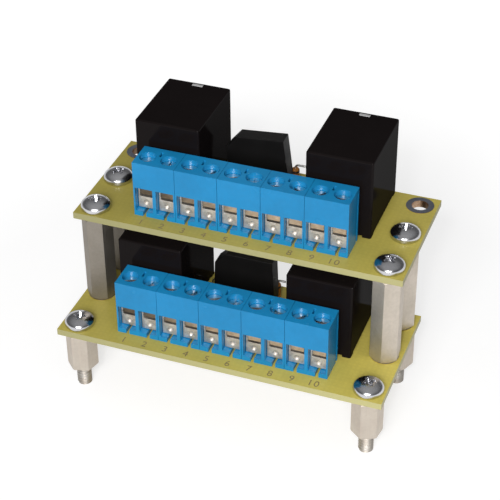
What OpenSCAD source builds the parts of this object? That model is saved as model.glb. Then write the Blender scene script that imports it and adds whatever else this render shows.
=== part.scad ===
// Two-storey relay board: two identical relay boards stacked on hex standoffs.
// X runs along the terminal row, Y from front to back, Z up.
// The assembly stands on its four foot studs, centred on X and Y.

/* [Board] */
// Thickness of the fibreglass laminate
board_t = 1.6; // [1.2:0.1:2.4]
// Thickness of the tinned copper on the board
copper_t = 0.1; // [0.05:0.01:0.15]

/* [Mounting holes] */
// Distance between the left and the right column of holes
hole_span = 69.85; // [68.5:0.05:72]
// Distance from one hole to the next, front to back
hole_pitch = 12.7; // [11.5:0.1:13]
// Distance from a board's front or back edge to the nearest holes
hole_inset = 3.8; // [3.7:0.1:5]
// Distance from a board's left or right edge to the nearest holes
end_inset = 4.075; // [3.7:0.025:6]
// Finished diameter of a plated hole
hole_d = 3.9; // [3.7:0.1:4.3]
// Outer diameter of the tinned land round a hole
land_d = 6.5; // [5.5:0.1:7]

/* [Hex standoffs] */
// Width across the flats of every standoff, foot and nut
hex_af = 6.35; // [5.5:0.05:7]
// Length of the hex body of a foot
foot_l = 10; // [9:0.1:14]
// Length of the stud under a foot
foot_stud_l = 6; // [4:0.1:10]
// Length of the stud under a long standoff
standoff_stud_l = 6.4; // [5.4:0.1:7]
// Depth of a threaded bore in a standoff or foot
thread_bore_l = 6.3; // [6.2:0.1:7.8]
// Thickness of the nut on a middle stud
nut_l = 2.6; // [2:0.1:3.2]
// Height of the chamfer on the hex ends
hex_chamfer = 0.5; // [0.3:0.05:0.8]
// Height of the chamfer on a foot's lower end
foot_chamfer = 0.15; // [0.1:0.05:0.5]

// Thread diameter of the stud under a foot
foot_stud_d = 3.5; // [3:0.05:3.6]

/* [Board screws] */
// Thread diameter of the screws, and of the studs inside the stack
screw_d = 3.45; // [3:0.05:3.6]
// Length of a screw under its head
screw_l = 6.4; // [5:0.1:8]
// Diameter of the pan head
head_d = 7; // [6:0.1:7.4]
// Height of the pan head
head_h = 2.3; // [1.8:0.1:2.8]
// Height of the straight rim of the pan head
head_rim_h = 0.7; // [0.4:0.05:1]
// Length of each bar of the cross recess
cross_l = 4; // [3:0.1:4.6]
// Width of each bar of the cross recess
cross_w = 0.85; // [0.6:0.05:1.1]
// Depth of the cross recess
cross_depth = 1.5; // [1:0.1:1.7]

/* [Terminal blocks] */
// Distance from one terminal to the next
pole_pitch = 5.08; // [5:0.01:5.2]
// Height of the terminal housing
block_h = 14; // [13.8:0.1:16]
// Depth of the terminal housing
block_d = 7.4; // [7.2:0.1:8.6]
// Distance from the board's front edge to the housing
block_y = 4; // [3.5:0.1:4.5]
// Width of a wire window
window_w = 4.25; // [4.1:0.05:4.3]
// Height of the top of a wire window
window_top = 7.4; // [7.2:0.1:7.8]
// Height of the flared feet under the windows
plinth_h = 1.3; // [1.25:0.05:1.6]
// Straight height of the flared feet at their edge
plinth_edge_h = 1.1; // [0.9:0.05:1.2]
// Width of the slit between two flared feet
plinth_gap = 0.8; // [0.6:0.05:1.2]
// Thickness of the lip above a wire window
lip_t = 0.8; // [0.6:0.05:0.9]
// Diameter of a screw well
well_d = 3.9; // [3.8:0.05:4.1]
// Distance from the front face to the well's axis
well_y = 3.4; // [3.2:0.05:3.6]
// Depth of the screw head below the housing's top
well_depth = 1.3; // [0.8:0.1:1.6]
// Width of the key groove in the housing's side, at its floor
key_w = 1.1; // [0.9:0.05:1.2]
// Depth of the key groove in the housing's side
key_depth = 0.55; // [0.3:0.05:0.6]
// Distance from the back face to the key groove's middle
key_back = 1; // [0.9:0.05:1]
// Width of the marker notch between two wells
notch_w = 0.5; // [0.3:0.05:0.7]
// Length of the marker notch between two wells
notch_l = 1.9; // [1.2:0.1:2.2]
// Depth of the marker notch between two wells
notch_depth = 1.2; // [0.6:0.1:2]

/* [Terminal clamps] */
// Head diameter of a clamp screw
clamp_head_d = 3.6; // [3.4:0.05:3.7]
// Head height of a clamp screw
clamp_head_h = 1.5; // [1.2:0.1:1.8]
// Shank diameter of a clamp screw
clamp_shank_d = 2.5; // [2:0.05:2.6]
// Width of the slot in a clamp screw
clamp_slot_w = 0.6; // [0.4:0.05:0.8]
// Depth of the slot in a clamp screw
clamp_slot_depth = 0.8; // [0.5:0.05:1.1]
// Sheet thickness of a wire cage
cage_t = 0.4; // [0.3:0.05:0.45]
// Thickness of the threaded top of a wire cage
cage_top_t = 0.9; // [0.6:0.05:1.1]
// Distance from the front face to a wire cage
cage_y = 1.6; // [1.5:0.05:1.7]
// Depth of a wire cage
cage_d = 4; // [3.8:0.1:4.1]
// Diameter of the dimple in the front of a wire cage
dimple_d = 1.7; // [1.2:0.05:2]
// Height of the slit left above the wire cage's front
slit_h = 0.6; // [0.4:0.05:0.8]
// Height of the contact's front lip inside the window
contact_lip_h = 2.5; // [2.2:0.1:2.8]
// Sheet thickness of a contact
contact_t = 0.6; // [0.4:0.05:0.7]
// Diameter of a contact's solder pin
contact_pin_d = 1; // [0.8:0.05:1.2]

/* [Relays] */
// Width of a relay
relay_w = 15.5; // [14.5:0.1:16.5]
// Depth of a relay
relay_d = 20.2; // [19:0.1:20.6]
// Height of a relay
relay_h = 19.8; // [15:0.1:21]
// Distance from the board's centre line to a relay's centre
relay_x = 20.3; // [20:0.05:21]
// Gap between the terminal housings and a relay
relay_front_gap = 1.2; // [0.8:0.1:2]
// Least gap between a relay and the board's back edge
relay_back_gap = 0.2; // [0.1:0.1:0.5]
// Room between a lower relay and the upper board
relay_room = 3.1; // [2.8:0.1:10]
// Radius of a relay's edges
relay_edge_r = 0.45; // [0.2:0.05:0.8]
// Height of the pads under a relay's corners
relay_pad_h = 0.5; // [0.3:0.05:0.8]
// Side length of the pads under a relay's corners
relay_pad_w = 2; // [1.5:0.1:2.5]
// Width of the vent nib on a relay's top
relay_nib_w = 2.6; // [1.5:0.1:4]
// Depth of the vent nib on a relay's top
relay_nib_d = 0.8; // [0.5:0.1:1.2]
// Distance between a relay's left and right pins
relay_pin_span = 12; // [11:0.1:12.2]
// Distance between a relay's coil and contact pin rows
relay_row_span = 12.2; // [11.6:0.1:12.6]
// Width of a relay pin
relay_pin_w = 1; // [0.8:0.05:1.2]
// Thickness of a relay pin
relay_pin_t = 0.5; // [0.3:0.05:0.6]

/* [Rectifier] */
// Width of the rectifier's body
rect_w = 15; // [14.2:0.1:15.2]
// Height of the rectifier's body
rect_h = 11.6; // [10:0.1:12.5]
// Thickness of the rectifier's body
rect_t = 3.8; // [3.4:0.1:4.2]
// Size of the corner cut that marks the rectifier's first lead
rect_cut = 2.9; // [2.5:0.1:4]
// Draft of the rectifier's sides over its height
rect_draft = 0.4; // [0.2:0.05:0.6]
// Height of the rectifier's body above the board
rect_lift = 2; // [1:0.1:3]
// Sideways position of the middle of the rectifier's leads
rect_x = -1.9; // [-2.1:0.05:-1.7]
// Distance from the board's front edge to the rectifier's centre
rect_y = 25.1; // [24.6:0.1:25.2]
// Sideways shift of the lower rectifier's body off its leads
lower_rect_shift = 0.4; // [-0.5:0.1:0.5]
// Lean of the lower rectifier towards its corner cut, in degrees
lower_rect_lean = 0.3; // [0:0.1:6]
// Sideways shift of the upper rectifier's body off its leads
upper_rect_shift = -0.4; // [-0.5:0.1:0.5]
// Lean of the upper rectifier towards its corner cut, in degrees
upper_rect_lean = 5.5; // [0:0.1:6]
// Distance between two rectifier leads
rect_lead_pitch = 3.8; // [3.7:0.05:3.9]
// Diameter of a rectifier lead
rect_lead_d = 0.8; // [0.7:0.05:0.9]

/* [Diodes] */
// Diameter of a diode's glass body
diode_d = 1.9; // [1.6:0.05:2]
// Length of a diode's glass body
diode_l = 4; // [3.6:0.1:4.4]
// Diameter of a diode's leads
diode_lead_d = 0.5; // [0.4:0.02:0.6]
// Distance between the holes of the flat diode
diode_span = 7.6; // [7.2:0.1:8]
// Distance between the holes of the upright diode
diode_hairpin = 3; // [2.8:0.1:3.3]
// Height of the flat diode above the board
flat_lift = 0.6; // [0.2:0.1:1]
// Height of the upright diode above the board
upright_lift = 0.5; // [0.4:0.1:2]
// Sideways position of the flat diode's middle
flat_x = -7.5; // [-7.6:0.05:-7.2]
// Gap between the rectifier and the flat diode behind it
flat_gap = 0.45; // [0.3:0.05:0.8]
// Sideways position of the upright diode
upright_x = 5.1; // [4.8:0.1:5.6]
// Gap between the rectifier and the upright diode behind it
upright_gap = 0.15; // [0.1:0.05:0.5]

/* [Solder side] */
// Length of every pin under the board
pin_tip = 1.6; // [1.2:0.1:2]
// Height of a solder joint
solder_h = 1; // [0.7:0.05:1.1]
// Diameter of a solder joint at the board
solder_d = 2; // [1.8:0.05:2.2]
// Diameter of a copper pad
pad_d = 2.5; // [2.3:0.05:2.6]
// Width of a load track
track_w = 1.6; // [1:0.1:1.8]
// Width of a coil track
thin_track_w = 0.9; // [0.6:0.05:1]

/* [Fits] */
// Radial gap between a thread and the bore it turns in
thread_gap = 0.04; // [0.02:0.01:0.08]
// Radial gap between a pin and its hole in the board
pin_gap = 0.15; // [0.1:0.01:0.2]
// Gap between two neighbouring terminal housings
housing_gap = 0.08; // [0.04:0.01:0.12]
// Gap between a wire cage and its housing
cage_gap = 0.1; // [0.05:0.01:0.15]
// Gap between the key and its groove
key_gap = 0.08; // [0.05:0.01:0.12]

/* [Hidden] */

// Overshoot of a cutting tool past the face it cuts
over = 1;
// Facets of small and of large rounds
$fn = 32;
LOWER = 0;
UPPER = 1;
LEFT = -1;
RIGHT = 1;
FRONT = 0;
MIDDLE = 1;
BACK = 2;

// A board reaches past its holes and past its relays
board_w = hole_span + 2 * end_inset;
relay_y = block_y + block_d + relay_front_gap + relay_d / 2;
board_d = max(2 * (hole_pitch + hole_inset), relay_y + relay_d / 2 + relay_back_gap);
row_pitch = board_d / 2 - hole_inset;

// Stack heights: z = 0 is at the stud tips
standoff_l = relay_h + relay_room - 2 * copper_t;
stack_d = board_d + row_pitch;
stack_step = relay_h + relay_room + board_t;
foot_top_z = foot_stud_l + foot_l;
lower_top_z = foot_top_z + copper_t + board_t;

// The underside of the copper, seen from the board's top
solder_z = -board_t - copper_t;
pin_end_z = solder_z - pin_tip;

// Mounting holes
barrel_d = hole_d + 2 * copper_t;
thread_bore_d = screw_d + 2 * thread_gap;
hex_corner_d = hex_af / cos(30);
hex_face_inset = 0.1;
hex_corner_over = 0.05;
hex_inner = hex_af / 2 - hex_face_inset;
hex_outer = hex_corner_d / 2 + hex_corner_over;
chamfer_slope = (hex_outer - hex_inner) / hex_chamfer;
stud_chamfer = 0.5;
stud_root = 0.5;
crown_steps = 8;
crown_angle = 80;
rim_chamfer = 0.15;

// Turn of each hex as it was tightened: left then right column
foot_front_turns = [16, 22];
foot_back_turns = [41, 8];
standoff_front_turns = [14, 32];
standoff_back_turns = [4, 47];
nut_turns = [25, 50];
lower_cross_turns = [12, 38];
upper_front_cross_turns = [24, 52];
upper_middle_cross_turns = [61, 5];

// Terminal row
poles = 10;
block_poles = 2;
row_w = poles * pole_pitch;
block_w = block_poles * pole_pitch;
seat_z = block_h - well_depth - clamp_head_h;
shelf_t = 0.6;
shank_gap = 0.15;
panel_root = 0.2;
key_flare = 0.12;
key_stop = 2.3;
key_top = block_h - key_stop;
chamber_top = seat_z - shelf_t;
cage_w = window_w - 2 * cage_gap;
cage_z = plinth_h + cage_gap;
cage_top = chamber_top - cage_gap;
cage_inner_w = cage_w - 2 * cage_t;
apron_t = 2 * cage_t;
contact_w = cage_inner_w - 2 * cage_gap;
contact_lip_z = window_top - contact_lip_h;
apron_top = contact_lip_z - slit_h;
bar_z = window_top + cage_gap;
bar_top = bar_z + contact_t;
leg_y = cage_y + cage_d + cage_gap;
leg_slot_end = leg_y + contact_t + cage_gap;
contact_pin_y = leg_y + contact_t / 2;
notch_back = 1.2;
notch_y = block_d - notch_back - notch_l;
slot_turns = [25, 88, 4, 70, 32, 95, 12, 150, 58, 175];

// Relays
coil_row_y = relay_y - relay_row_span / 2;
contact_row_y = relay_y + relay_row_span / 2;
common_step = 2;
common_y = coil_row_y - common_step;
relay_pin_x = relay_pin_span / 2;
nib_h = 0.2;
nib_back = 0.5;
nib_y = relay_d / 2 - relay_edge_r - nib_back - relay_nib_d;

// Rectifier and diodes
rect_edge = 0.25;
rect_root = 1;
rect_shifts = [lower_rect_shift, upper_rect_shift];
rect_leans = [lower_rect_lean, upper_rect_lean];
behind_rect = rect_y + rect_t / 2 + diode_d / 2;
flat_y = behind_rect + flat_gap;
upright_y = behind_rect + upright_gap;
lead_bend_r = 0.8;
hairpin_rise = 0.1;
hairpin_z = upright_lift + diode_l + hairpin_rise;

// Solder side
solder_tip_d = 1.45;
lane_step = 3.2;
lane_inset = 1.6;
supply_bend = 3.6;
outer_lane = relay_x + relay_pin_x + lane_step;
inner_lane = relay_x - relay_pin_x / 2;
coil_lane = relay_x + relay_pin_x / 3;
back_lane = board_d - lane_inset;
bend_y = rect_y - supply_bend;

// Places on a board, measured from the middle of its front edge
function pole_x(i) = (i - (poles - 1) / 2) * pole_pitch;
function hole_at(side, row) = [side * hole_span / 2, hole_inset + row * row_pitch];
function terminal_at(i) = [pole_x(i), block_y + contact_pin_y];
// Terminal k of a side, counted from the board's end
function side_terminal(side, k) = terminal_at(side == LEFT ? k : poles - 1 - k);
function coil_inner(side) = [side * (relay_x - relay_pin_x), coil_row_y];
function coil_outer(side) = [side * (relay_x + relay_pin_x), coil_row_y];
function common(side) = [side * relay_x, common_y];
function open_contact(side) = [side * (relay_x - relay_pin_x), contact_row_y];
function closed_contact(side) = [side * (relay_x + relay_pin_x), contact_row_y];
function rect_lead(k) = [rect_x + (k - 1.5) * rect_lead_pitch, rect_y];
flat_pins = [[flat_x - diode_span / 2, flat_y], [flat_x + diode_span / 2, flat_y]];
upright_pins = [[upright_x, upright_y], [upright_x + diode_hairpin, upright_y]];

all_holes = [for (side = [LEFT, RIGHT], row = [FRONT, MIDDLE, BACK]) hole_at(side, row)];
terminal_pins = [for (i = [0:poles - 1]) terminal_at(i)];
relay_pins = [
    for (side = [LEFT, RIGHT])
        each [
            coil_inner(side), coil_outer(side), common(side),
            open_contact(side), closed_contact(side),
        ],
];
rect_pins = [for (k = [0:3]) rect_lead(k)];
diode_pins = concat(flat_pins, upright_pins);
all_pins = concat(terminal_pins, relay_pins, rect_pins, diode_pins);

// ---------- frames ----------

// Puts a board's own parts on one of the two levels
module on_board(level)
    translate([0, level * row_pitch - stack_d / 2, lower_top_z + level * stack_step]) children();

// Puts hardware over a mounting hole of one level
module at_hole(level, side, row)
    on_board(level) translate(hole_at(side, row)) children();

function side_index(side) = side == LEFT ? 0 : 1;

// ---------- shared shapes ----------

module rounded_rect(w, d, r) {
    square([w - 2 * r, d], center = true);
    square([w, d - 2 * r], center = true);
    for (sx = [-1, 1], sy = [-1, 1])
        translate([sx * (w / 2 - r), sy * (d / 2 - r)]) circle(r = r);
}

// Upright outline with its bottom edge at zero and rounded top corners
module round_topped(w, h, r) {
    translate([-w / 2, 0]) square([w, h - r]);
    translate([-w / 2 + r, 0]) square([w - 2 * r, h]);
    for (s = [-1, 1]) translate([s * (w / 2 - r), h - r]) circle(r = r);
}

// Hex bar standing on zero, its corners chamfered at both ends
module hex_bar(length, low_chamfer = hex_chamfer)
    intersection() {
        cylinder(d = hex_corner_d, h = length, $fn = 6);
        rotate_extrude($fn = 48)
            polygon([
                [0, 0], [hex_outer - low_chamfer * chamfer_slope, 0], [hex_outer, low_chamfer],
                [hex_outer, length - hex_chamfer], [hex_inner, length], [0, length],
            ]);
    }

// Threaded stud hanging down from zero, rooted a little way above it
module stud(length, width = screw_d) {
    translate([0, 0, stud_chamfer - length])
        cylinder(d = width, h = length - stud_chamfer + stud_root);
    translate([0, 0, -length])
        cylinder(d1 = width - 2 * stud_chamfer, d2 = width, h = stud_chamfer);
}

// Threaded bore that opens upwards at zero
module thread_bore(depth)
    translate([0, 0, -depth]) cylinder(d = thread_bore_d, h = depth + over);

// ---------- stack hardware ----------

module foot(turn) {
    rotate(turn)
        difference() {
            translate([0, 0, -foot_l]) hex_bar(foot_l, foot_chamfer);
            thread_bore(thread_bore_l);
        }
    translate([0, 0, -foot_l]) stud(foot_stud_l, foot_stud_d);
}

module long_standoff(turn) {
    rotate(turn)
        difference() {
            hex_bar(standoff_l);
            translate([0, 0, standoff_l]) thread_bore(thread_bore_l);
        }
    stud(standoff_stud_l);
}

module stud_nut(turn)
    rotate(turn)
        translate([0, 0, -nut_l])
            difference() {
                hex_bar(nut_l);
                translate([0, 0, -over]) cylinder(d = thread_bore_d, h = nut_l + 2 * over);
            }

module cross_bar()
    rotate([90, 0, 0])
        linear_extrude(cross_w, center = true)
            polygon([
                [-cross_l / 2, over], [-cross_l / 2, 0], [-cross_l / 5, -cross_depth],
                [cross_l / 5, -cross_depth], [cross_l / 2, 0], [cross_l / 2, over],
            ]);

// Pan head screw seated on zero
module board_screw(turn) {
    crown_h = head_h - head_rim_h;
    crown = [
        for (i = [0:crown_steps])
            let (turned = crown_angle * i / crown_steps)
                [head_d / 2 * cos(turned), head_rim_h + crown_h * sin(turned) / sin(crown_angle)],
    ];
    difference() {
        rotate_extrude($fn = 48)
            polygon(concat([[0, 0], [head_d / 2 - rim_chamfer, 0]], crown, [[0, head_h]]));
        translate([0, 0, head_h]) rotate(turn) {
            cross_bar();
            rotate(90) cross_bar();
        }
    }
    stud(screw_l);
}

module feet()
    color([0.78, 0.74, 0.67])
        for (side = [LEFT, RIGHT]) {
            translate([0, 0, solder_z])
                at_hole(LOWER, side, FRONT) foot(foot_front_turns[side_index(side)]);
            translate([0, 0, solder_z])
                at_hole(LOWER, side, BACK) foot(foot_back_turns[side_index(side)]);
        }

module long_standoffs()
    color([0.72, 0.69, 0.64])
        for (side = [LEFT, RIGHT])
            translate([0, 0, copper_t]) {
                at_hole(LOWER, side, MIDDLE) long_standoff(standoff_front_turns[side_index(side)]);
                at_hole(LOWER, side, BACK) long_standoff(standoff_back_turns[side_index(side)]);
            }

module stud_nuts()
    color([0.72, 0.72, 0.72])
        for (side = [LEFT, RIGHT])
            translate([0, 0, solder_z]) at_hole(LOWER, side, MIDDLE) stud_nut(nut_turns[side_index(side)]);

module lower_board_screws()
    color([0.75, 0.75, 0.77])
        for (side = [LEFT, RIGHT])
            translate([0, 0, copper_t])
                at_hole(LOWER, side, FRONT) board_screw(lower_cross_turns[side_index(side)]);

module upper_board_screws()
    color([0.75, 0.75, 0.77])
        for (side = [LEFT, RIGHT])
            translate([0, 0, copper_t]) {
                at_hole(UPPER, side, FRONT) board_screw(upper_front_cross_turns[side_index(side)]);
                at_hole(UPPER, side, MIDDLE) board_screw(upper_middle_cross_turns[side_index(side)]);
            }

// ---------- bare board ----------

// Outlines of every solder pin, each widened by a gap
module pin_outlines(gap) {
    for (p = terminal_pins) translate(p) circle(d = contact_pin_d + 2 * gap);
    for (p = relay_pins)
        translate(p) square([relay_pin_w + 2 * gap, relay_pin_t + 2 * gap], center = true);
    for (p = rect_pins) translate(p) circle(d = rect_lead_d + 2 * gap);
    for (p = diode_pins) translate(p) circle(d = diode_lead_d + 2 * gap);
}

module circuit_board()
    color([0.72, 0.68, 0.33])
        translate([0, 0, -board_t])
            linear_extrude(board_t)
                difference() {
                    translate([-board_w / 2, 0]) square([board_w, board_d]);
                    for (p = all_holes) translate(p) circle(d = barrel_d);
                    pin_outlines(pin_gap);
                }

// Plated barrel with a tinned land above and below the board
module hole_lands()
    color([0.55, 0.58, 0.62])
        for (p = all_holes)
            translate([p.x, p.y, solder_z])
                difference() {
                    union() {
                        cylinder(d = land_d, h = copper_t);
                        cylinder(d = barrel_d, h = board_t + 2 * copper_t);
                        translate([0, 0, board_t + copper_t]) cylinder(d = land_d, h = copper_t);
                    }
                    translate([0, 0, -over]) cylinder(d = hole_d, h = board_t + 2 * over);
                }

// Copper track with round ends through a list of points
module track(points, width)
    for (i = [0:len(points) - 2]) {
        run = points[i + 1] - points[i];
        translate(points[i]) {
            circle(d = width);
            rotate(atan2(run.y, run.x)) translate([0, -width / 2]) square([norm(run), width]);
        }
        translate(points[i + 1]) circle(d = width);
    }

// The three contact tracks and the coil track of one relay
module relay_tracks(side) {
    outer = side_terminal(side, 0);
    centre = side_terminal(side, 1);
    inner = side_terminal(side, 2);
    coil = side_terminal(side, 3);
    closed = closed_contact(side);
    opened = open_contact(side);
    outer_step = outer_lane - abs(closed.x);
    inner_step = inner_lane - abs(opened.x);
    track([
        outer, [side * outer_lane, outer.y + outer_lane - abs(outer.x)],
        [side * outer_lane, closed.y - outer_step], closed,
    ], track_w);
    track([centre, [side * relay_x, centre.y + relay_x - abs(centre.x)], common(side)], track_w);
    track([
        inner, [side * inner_lane, inner.y + inner_lane - abs(inner.x)],
        [side * inner_lane, opened.y - inner_step], opened,
    ], track_w);
    track([coil, coil_inner(side)], track_w);
    track([
        coil_outer(side), [side * coil_lane, coil_row_y + relay_x + relay_pin_x - coil_lane],
        [side * coil_lane, back_lane],
    ], thin_track_w);
}

module supply_tracks() {
    left_in = side_terminal(LEFT, 4);
    right_in = side_terminal(RIGHT, 4);
    left_turn = abs(rect_lead(1).x - left_in.x);
    right_turn = abs(rect_lead(2).x - right_in.x);
    drop = abs(upright_x - rect_lead(3).x);
    track([
        left_in, [left_in.x, bend_y - left_turn],
        [rect_lead(1).x, bend_y], rect_lead(1),
    ], thin_track_w);
    track([
        right_in, [right_in.x, bend_y - right_turn],
        [rect_lead(2).x, bend_y], rect_lead(2),
    ], thin_track_w);
    track([[-coil_lane, back_lane], [rect_lead(0).x, back_lane], rect_lead(0)], thin_track_w);
    track([
        [coil_lane, back_lane], [upright_x, back_lane],
        [rect_lead(3).x, back_lane - drop], rect_lead(3),
    ], thin_track_w);
}

module diode_tracks() {
    left_coil = coil_inner(LEFT);
    right_coil = coil_inner(RIGHT);
    rise = abs(left_coil.x - flat_pins[0].x);
    run = abs(right_coil.x - upright_pins[1].x);
    track([flat_pins[0], [flat_pins[0].x, left_coil.y + rise], left_coil], thin_track_w);
    track([flat_pins[1], [rect_lead(0).x, flat_y]], thin_track_w);
    track([upright_pins[0], [rect_lead(3).x, upright_y]], thin_track_w);
    track([upright_pins[1], [upright_pins[1].x, right_coil.y + run], right_coil], thin_track_w);
}

module copper_tracks()
    color([0.72, 0.55, 0.3])
        translate([0, 0, solder_z])
            linear_extrude(copper_t)
                difference() {
                    union() {
                        for (p = all_pins) translate(p) circle(d = pad_d);
                        relay_tracks(LEFT);
                        relay_tracks(RIGHT);
                        supply_tracks();
                        diode_tracks();
                    }
                    pin_outlines(0);
                }

module solder_joints()
    color([0.75, 0.75, 0.76])
        difference() {
            for (p = all_pins)
                translate([p.x, p.y, solder_z - solder_h])
                    cylinder(d1 = solder_tip_d, d2 = solder_d, h = solder_h);
            translate([0, 0, pin_end_z - over])
                linear_extrude(pin_tip + over + board_t) pin_outlines(0);
        }

// ---------- terminal blocks ----------

// Wall between two windows, with its flared foot, as seen from the front
module wall_outline() {
    wall = pole_pitch - window_w;
    foot = pole_pitch - plinth_gap;
    polygon([
        [-foot / 2, 0], [foot / 2, 0], [foot / 2, plinth_edge_h], [wall / 2, plinth_h],
        [wall / 2, window_top], [-wall / 2, window_top], [-wall / 2, plinth_h], [-foot / 2, plinth_edge_h],
    ]);
}

// Front outline of a housing that spans two poles
module housing_outline()
    intersection() {
        translate([housing_gap / 2, 0]) square([block_w - housing_gap, block_h]);
        union() {
            translate([0, window_top]) square([block_w, block_h - window_top]);
            for (i = [0:block_poles]) translate([i * pole_pitch, 0]) wall_outline();
        }
    }

// Dovetail outline on a side face, growing from its mouth towards +X
module key_outline(width, depth)
    polygon([
        [-over, key_flare - width / 2], [0, key_flare - width / 2], [depth, -width / 2],
        [depth, width / 2], [0, width / 2 - key_flare], [-over, width / 2 - key_flare],
    ]);

// Everything cut out of a housing for one pole, centred on its window
module pole_cut() {
    translate([-window_w / 2, lip_t, plinth_h])
        cube([window_w, leg_y - lip_t, chamber_top - plinth_h]);
    translate([-contact_w / 2 - cage_gap, leg_y - over, plinth_h])
        cube([contact_w + 2 * cage_gap, leg_slot_end - leg_y + over, chamber_top - plinth_h]);
    translate([0, well_y, seat_z]) cylinder(d = well_d, h = block_h - seat_z + over);
    translate([0, well_y, chamber_top - over])
        cylinder(d = clamp_shank_d + 2 * shank_gap, h = shelf_t + 2 * over);
    translate([0, contact_pin_y, -over])
        cylinder(d = contact_pin_d + 2 * cage_gap, h = plinth_h + 2 * over);
}

// Back wall panel that closes a window from behind
module back_panels()
    for (i = [0:block_poles - 1])
        translate([(i + 0.5) * pole_pitch - window_w / 2 - panel_root, lip_t, plinth_h])
            cube([window_w + 2 * panel_root, block_d - lip_t, window_top - plinth_h + panel_root]);

module terminal_housing()
    difference() {
        union() {
            translate([0, block_d, 0]) rotate([90, 0, 0]) linear_extrude(block_d) housing_outline();
            back_panels();
            translate([housing_gap / 2, block_d - key_back, 0])
                linear_extrude(key_top)
                    mirror([1, 0]) key_outline(key_w - 2 * key_gap, key_depth - key_gap);
        }
        for (i = [0:block_poles - 1]) translate([(i + 0.5) * pole_pitch, 0, 0]) pole_cut();
        translate([block_w - housing_gap / 2, block_d - key_back, -over])
            linear_extrude(key_top + 2 * over) mirror([1, 0]) key_outline(key_w, key_depth);
        translate([block_w / 2 - notch_w / 2, notch_y, block_h - notch_depth])
            cube([notch_w, notch_l, notch_depth + over]);
    }

// Housing number n of a row, counted from the left
module terminal_block(level, n)
    color([0.16, 0.52, 0.76])
        on_board(level) translate([-row_w / 2 + (n - 1) * block_w, block_y, 0]) terminal_housing();

module at_poles()
    for (i = [0:poles - 1]) translate([pole_x(i), block_y, 0]) {
        $pole = i;
        children();
    }

module clamp_screws()
    color([0.78, 0.78, 0.8])
        at_poles()
            translate([0, well_y, seat_z]) rotate(slot_turns[$pole]) {
                difference() {
                    cylinder(d = clamp_head_d, h = clamp_head_h);
                    translate([-well_d / 2, -clamp_slot_w / 2, clamp_head_h - clamp_slot_depth])
                        cube([well_d, clamp_slot_w, clamp_slot_depth + over]);
                }
                translate([0, 0, bar_top + thread_gap - seat_z])
                    cylinder(d = clamp_shank_d, h = seat_z - bar_top - thread_gap);
            }

module wire_cages()
    color([0.8, 0.8, 0.78])
        at_poles()
            difference() {
                translate([-cage_w / 2, cage_y, cage_z]) cube([cage_w, cage_d, cage_top - cage_z]);
                translate([-cage_inner_w / 2, cage_y + apron_t, cage_z + cage_t])
                    cube([cage_inner_w, cage_d, cage_top - cage_z - cage_t - cage_top_t]);
                translate([-cage_inner_w / 2, cage_y - over, apron_top])
                    cube([cage_inner_w, apron_t + 2 * over, cage_top - cage_top_t - apron_top]);
                translate([0, well_y, cage_top - cage_top_t - over])
                    cylinder(d = clamp_shank_d + 2 * thread_gap, h = cage_top_t + 2 * over);
                translate([0, cage_y - dimple_d / 4, (cage_z + apron_top) / 2]) sphere(d = dimple_d);
            }

module contacts()
    color([0.76, 0.64, 0.5])
        at_poles() {
            translate([-contact_w / 2, cage_y, contact_lip_z])
                cube([contact_w, contact_t, bar_top - contact_lip_z]);
            translate([-contact_w / 2, cage_y, bar_z])
                cube([contact_w, leg_y + contact_t - cage_y, contact_t]);
            translate([-contact_w / 2, leg_y, plinth_h + cage_gap])
                cube([contact_w, contact_t, bar_top - plinth_h - cage_gap]);
            translate([0, contact_pin_y, pin_end_z])
                cylinder(d = contact_pin_d, h = plinth_h + cage_gap + contact_t - pin_end_z);
        }

// ---------- relays ----------

module relay(level, side)
    color([0.1, 0.1, 0.11])
        on_board(level) translate([side * relay_x, relay_y, 0]) {
            difference() {
                intersection() {
                    linear_extrude(relay_h) rounded_rect(relay_w, relay_d, relay_edge_r);
                    rotate([90, 0, 0])
                        linear_extrude(relay_d, center = true) round_topped(relay_w, relay_h, relay_edge_r);
                    rotate([90, 0, 90])
                        linear_extrude(relay_w, center = true) round_topped(relay_d, relay_h, relay_edge_r);
                }
                translate([0, 0, -over]) {
                    linear_extrude(relay_pad_h + over) {
                        square([relay_w - 2 * relay_pad_w, relay_d + over], center = true);
                        square([relay_w + over, relay_d - 2 * relay_pad_w], center = true);
                    }
                }
            }
            translate([-relay_nib_w / 2, nib_y, relay_h - nib_h])
                cube([relay_nib_w, relay_nib_d, 2 * nib_h]);
        }

module relay_pin_group()
    color([0.78, 0.78, 0.76])
        translate([0, 0, pin_end_z])
            linear_extrude(relay_pad_h - pin_end_z)
                for (p = relay_pins) translate(p) square([relay_pin_w, relay_pin_t], center = true);

// ---------- rectifier and diodes ----------

module rectifier_body(level)
    translate([rect_x + rect_shifts[level], rect_y, rect_lift])
        rotate([0, -rect_leans[level], 0])
            intersection() {
                rotate([90, 0, 0])
                    linear_extrude(rect_t, center = true)
                        polygon([
                            [-rect_w / 2, 0], [rect_w / 2, 0], [rect_w / 2 - rect_draft, rect_h],
                            [-rect_w / 2 + rect_draft + rect_cut, rect_h],
                            [-rect_w / 2 + rect_draft, rect_h - rect_cut],
                        ]);
                linear_extrude(rect_h)
                    polygon([
                        [-rect_w / 2, -rect_t / 2 + rect_edge], [-rect_w / 2 + rect_edge, -rect_t / 2],
                        [rect_w / 2 - rect_edge, -rect_t / 2], [rect_w / 2, -rect_t / 2 + rect_edge],
                        [rect_w / 2, rect_t / 2 - rect_edge], [rect_w / 2 - rect_edge, rect_t / 2],
                        [-rect_w / 2 + rect_edge, rect_t / 2], [-rect_w / 2, rect_t / 2 - rect_edge],
                    ]);
            }

module rectifier(level)
    color([0.09, 0.09, 0.09]) on_board(level) rectifier_body(level);

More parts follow.
